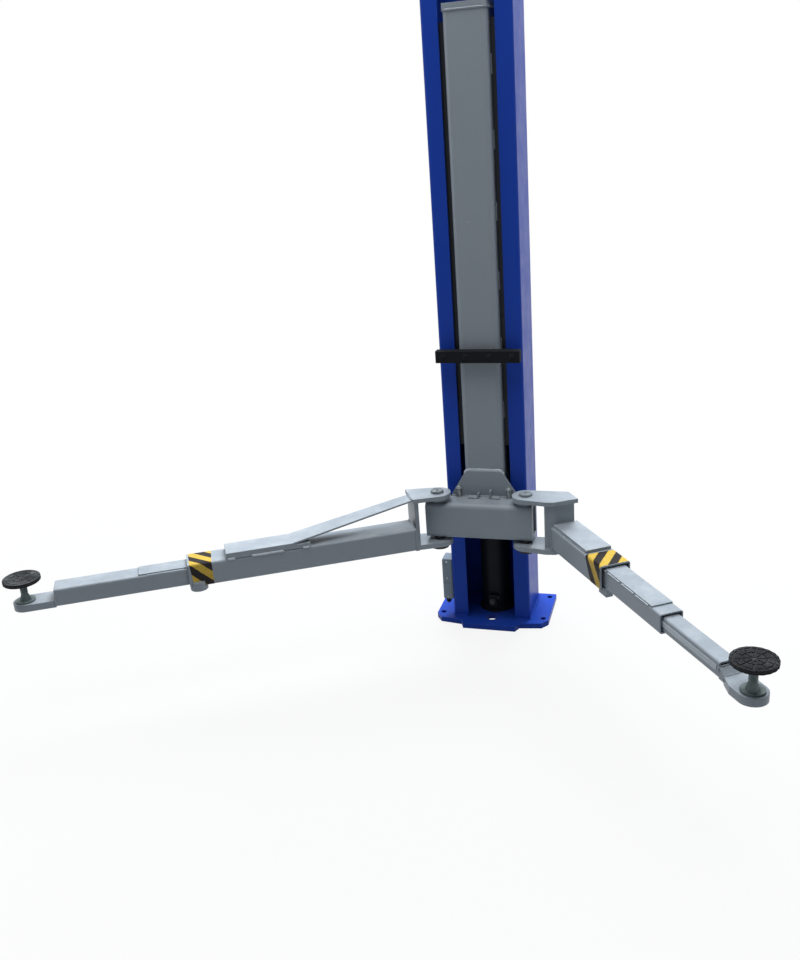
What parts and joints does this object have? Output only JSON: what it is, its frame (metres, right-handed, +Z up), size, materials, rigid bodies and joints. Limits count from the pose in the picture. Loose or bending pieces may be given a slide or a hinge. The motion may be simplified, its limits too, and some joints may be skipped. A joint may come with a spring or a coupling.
{
  "type": "two post car lift column",
  "caption": "Single post of a two post car lift: blue folded column on a foot plate with a sliding grey carriage and telescopic swing arms carrying round rubber pads.",
  "frame": {"origin": "centre of the column section on the underside of the foot plate", "axes": "+Z up the column, -Y out of the column's open side towards the vehicle, +X towards the short three stage arm"},
  "size_m": [2.3834, 1.2838, 3.612],
  "materials": {
    "blue_paint": "gloss",
    "grey_paint": "satin",
    "black_paint": "satin",
    "zinc_steel": "satin",
    "chromed_rod": "polished",
    "nylon": "matte",
    "box_grey": "satin",
    "black_rubber": "matte"
  },
  "bodies": {
    "column": {"base_plate": "blue_paint", "column_post": "blue_paint", "column_top_plate": "blue_paint", "cylinder_barrel": "black_paint", "cylinder_gland": "zinc_steel", "side_box": "box_grey"},
    "carriage": {"carriage_mast": "grey_paint", "carriage_head": "grey_paint", "cylinder_rod": "chromed_rod", "carriage_yoke": "grey_paint", "yoke_gusset": "grey_paint", "bumper_bar": "black_rubber", "guide_wing_left": "grey_paint", "guide_wing_right": "grey_paint", "slide_block_lower_left": "nylon", "slide_block_upper_left": "nylon", "slide_block_lower_right": "nylon", "slide_block_upper_right": "nylon", "pivot_pin_left": "zinc_steel", "pivot_pin_right": "zinc_steel", "lock_rod_left": "zinc_steel", "lock_rod_right": "zinc_steel"},
    "left_arm": {"left_top_plate": "grey_paint", "left_bottom_plate": "grey_paint", "left_head": "grey_paint", "left_outer_tube": "grey_paint", "left_brace": "grey_paint", "left_stop_lug": "grey_paint"},
    "left_extension": {"left_inner_tube": "grey_paint", "left_inner_strip": "grey_paint", "left_tip_plate": "grey_paint"},
    "left_pad": {"left_pad_foot": "zinc_steel", "left_rubber_pad": "black_rubber"},
    "right_arm": {"right_top_plate": "grey_paint", "right_bottom_plate": "grey_paint", "right_head": "grey_paint", "right_outer_tube": "grey_paint", "right_cover_strip": "grey_paint", "right_stop_lug": "grey_paint"},
    "right_middle": {"right_middle_tube": "grey_paint", "right_middle_strip": "grey_paint"},
    "right_extension": {"right_inner_tube": "grey_paint", "right_tip_plate": "grey_paint"},
    "right_pad": {"right_pad_foot": "zinc_steel", "right_rubber_pad": "black_rubber"}
  },
  "joints": [
    {"name": "carriage_lift", "type": "slide", "parent": "column", "child": "carriage", "axis": [0, 0, 1], "range_m": [-0.28, 1.3]},
    {"name": "left_arm_swing", "type": "hinge", "parent": "carriage", "child": "left_arm", "pos_m": [-0.158, -0.2, 0.457], "axis": [0, 0, 1], "range_deg": [-38, 60]},
    {"name": "left_arm_reach", "type": "slide", "parent": "left_arm", "child": "left_extension", "axis": [-0.8704, -0.4924, 0], "range_m": [-0.4, 0.05]},
    {"name": "left_pad_turn", "type": "hinge", "parent": "left_extension", "child": "left_pad", "pos_m": [-1.38738, -0.93312, 0.43], "axis": [0, 0, 1], "continuous": true},
    {"name": "right_arm_swing", "type": "hinge", "parent": "carriage", "child": "right_arm", "pos_m": [0.158, -0.2, 0.457], "axis": [0, 0, 1], "range_deg": [-33, 56]},
    {"name": "right_middle_reach", "type": "slide", "parent": "right_arm", "child": "right_middle", "axis": [0.5534, -0.8329, 0], "range_m": [-0.235, 0]},
    {"name": "right_end_reach", "type": "slide", "parent": "right_middle", "child": "right_extension", "axis": [0.5534, -0.8329, 0], "range_m": [-0.28, 0]},
    {"name": "right_pad_turn", "type": "hinge", "parent": "right_extension", "child": "right_pad", "pos_m": [0.87396, -1.0978, 0.44], "axis": [0, 0, 1], "continuous": true}
  ]
}
